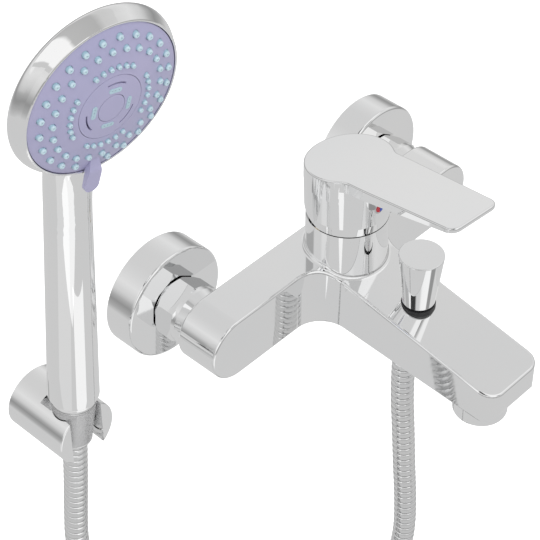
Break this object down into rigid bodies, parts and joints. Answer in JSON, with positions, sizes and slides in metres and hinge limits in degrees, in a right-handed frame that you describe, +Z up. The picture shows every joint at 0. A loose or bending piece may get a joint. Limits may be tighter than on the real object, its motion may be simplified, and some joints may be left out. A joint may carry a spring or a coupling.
{
  "type": "bath and shower mixer set",
  "caption": "Wall-mounted single-lever bath and shower mixer with pull diverter, flexible metal hose, round multi-spray hand shower and wall bracket.",
  "frame": {"origin": "midway between the two wall inlets, on the finished wall", "axes": "+X along the wall to the viewer's right, +Y into the wall, +Z up"},
  "size_m": [0.2991, 0.1815, 0.5634],
  "materials": {
    "chrome_metal": "polished chrome on cast and turned brass",
    "raw_brass": "turned",
    "black_rubber": "moulded",
    "black_plastic": "moulded",
    "white_plastic": "moulded",
    "ceramic_disc": "lapped",
    "bare_steel": "bright",
    "hose_metal": "chromed wound strip",
    "index_grey": "gloss",
    "index_red_blue": "gloss, one half red and one half blue",
    "chromed_plastic": "polished chrome on moulded plastic",
    "lilac_plastic": "satin moulded",
    "pale_blue_silicone": "soft silicone"
  },
  "bodies": {
    "mixer": {"eccentric_union_left": "chrome_metal", "rosette_left": "chrome_metal", "filter_washer_left": "black_rubber", "inlet_nipple_left": "raw_brass", "union_nut_left": "chrome_metal", "eccentric_union_right": "chrome_metal", "rosette_right": "chrome_metal", "filter_washer_right": "black_rubber", "inlet_nipple_right": "raw_brass", "union_nut_right": "chrome_metal", "mixer_body": "chrome_metal", "cartridge_housing": "white_plastic", "cartridge_base_seals": "black_rubber", "ceramic_fixed_disc": "ceramic_disc", "cartridge_nut": "raw_brass", "dome_ring": "chrome_metal", "diverter_bush": "black_plastic", "aerator_housing": "chrome_metal", "aerator_insert": "white_plastic", "aerator_gasket": "black_rubber", "hose_washer_mixer": "black_rubber", "hose_tail_mixer": "raw_brass", "hose_nut_mixer": "chrome_metal", "hose_mixer_run": "hose_metal", "hose_coil": "hose_metal", "coil_ties": "black_plastic", "hose_handset_run": "hose_metal", "bracket_body": "chrome_metal", "bracket_plate": "white_plastic", "bracket_lock_screw": "bare_steel"},
    "lever_carrier": {"cartridge_rotor": "white_plastic", "stem_pin": "bare_steel"},
    "lever": {"lever": "chrome_metal", "lever_screw": "bare_steel", "index_plug": "index_grey", "index_marks": "index_red_blue", "lever_stem": "bare_steel"},
    "mixing_disc": {"ceramic_moving_disc": "ceramic_disc"},
    "diverter": {"diverter_knob": "chrome_metal", "diverter_stem": "raw_brass", "diverter_disc": "raw_brass", "diverter_washer": "black_rubber"},
    "hose_end": {"hose_tail_handset": "raw_brass", "hose_washer_handset": "black_rubber"},
    "handset": {"hose_nut_handset": "chrome_metal", "handset_shell": "chromed_plastic", "handset_water_tube": "white_plastic", "head_rim": "chromed_plastic", "centre_plate": "lilac_plastic", "mist_inserts": "pale_blue_silicone", "centre_cap": "lilac_plastic", "distributor": "white_plastic", "face_screw": "bare_steel", "chamber_seal": "black_rubber"},
    "selector": {"face_plate": "lilac_plastic", "nozzle_mat": "pale_blue_silicone", "selector_disc": "white_plastic"}
  },
  "joints": [
    {"name": "lever_swivel", "type": "hinge", "parent": "mixer", "child": "lever_carrier", "pos_m": [0, -0.06035, 0.0345], "axis": [0, 0, 1], "range_deg": [-45, 54]},
    {"name": "lever_lift", "type": "hinge", "parent": "lever_carrier", "child": "lever", "pos_m": [0, -0.06035, 0.0345], "axis": [-0.9971, 0.0767, 0], "range_deg": [0, 18]},
    {"name": "disc_slide", "type": "slide", "parent": "lever_carrier", "child": "mixing_disc", "axis": [-0.0767, -0.9971, 0], "range_m": [0, 0.0031]},
    {"name": "diverter_pull", "type": "slide", "parent": "mixer", "child": "diverter", "axis": [0, 0, 1], "range_m": [0, 0.009]},
    {"name": "handset_lift", "type": "slide", "parent": "mixer", "child": "hose_end", "axis": [0, -0.0776, 0.997], "range_m": [0, 0.036]},
    {"name": "handset_swivel", "type": "hinge", "parent": "hose_end", "child": "handset", "pos_m": [-0.1535, -0.0298, 0.0149], "axis": [0, -0.0776, 0.997], "range_deg": [-53, 67]},
    {"name": "selector_turn", "type": "hinge", "parent": "handset", "child": "selector", "pos_m": [-0.15613, -0.06938, 0.2056], "axis": [0.106, 0.9843, 0.1413], "range_deg": [-60, 40]}
  ],
  "couplings": [
    {"joint": "disc_slide", "follows": "lever_lift", "m_per_rad": 0.00975}
  ]
}
